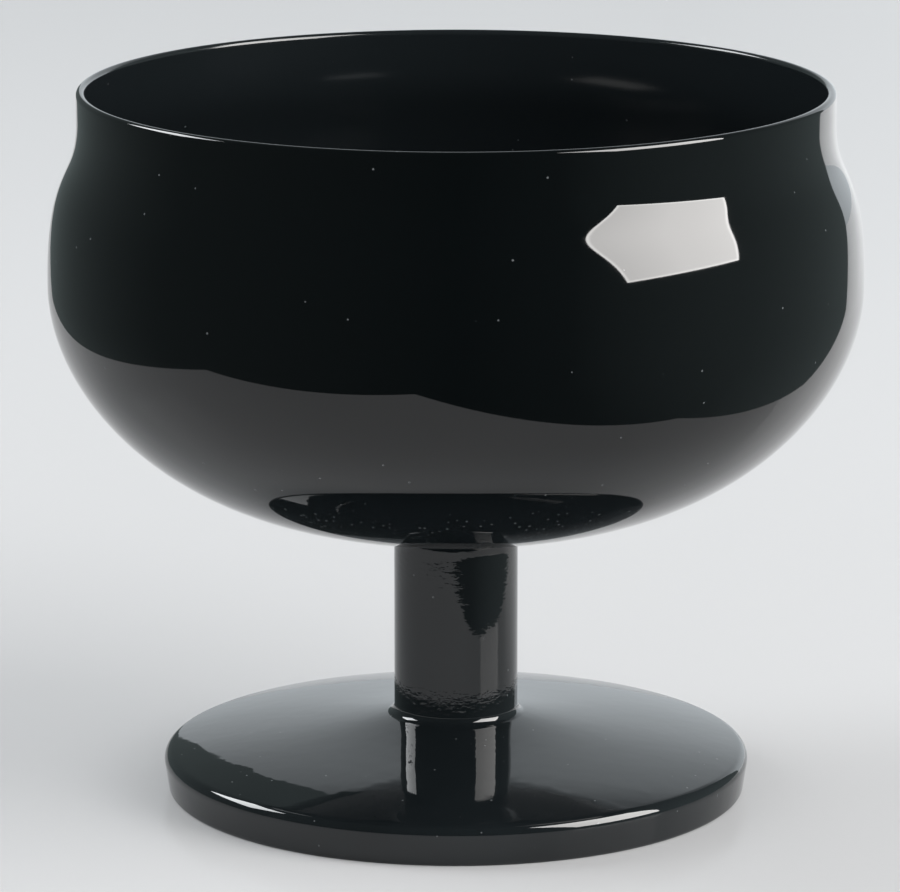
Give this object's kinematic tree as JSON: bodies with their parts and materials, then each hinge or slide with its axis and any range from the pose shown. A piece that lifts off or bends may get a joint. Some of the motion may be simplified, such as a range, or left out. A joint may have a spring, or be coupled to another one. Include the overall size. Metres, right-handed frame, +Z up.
{
  "type": "sherbet glass",
  "caption": "Stemmed sherbet glass in opaque black glass: round belly, drawn-in neck and thin lip on a short solid stem and low conical foot; holds sherbet, ice cream or a drink.",
  "frame": {"origin": "on the glass's axis, at the plane of the ring that the foot stands on", "axes": "+Z up along the glass's axis, from the foot to the lip; +X and +Y are alike because the glass is round"},
  "size_m": [0.089, 0.089, 0.0784],
  "materials": {
    "black_glass": "opaque black soda-lime glass, fire-polished"
  },
  "bodies": {
    "root": {"bowl": "black_glass", "stem": "black_glass", "foot": "black_glass"}
  },
  "joints": []
}
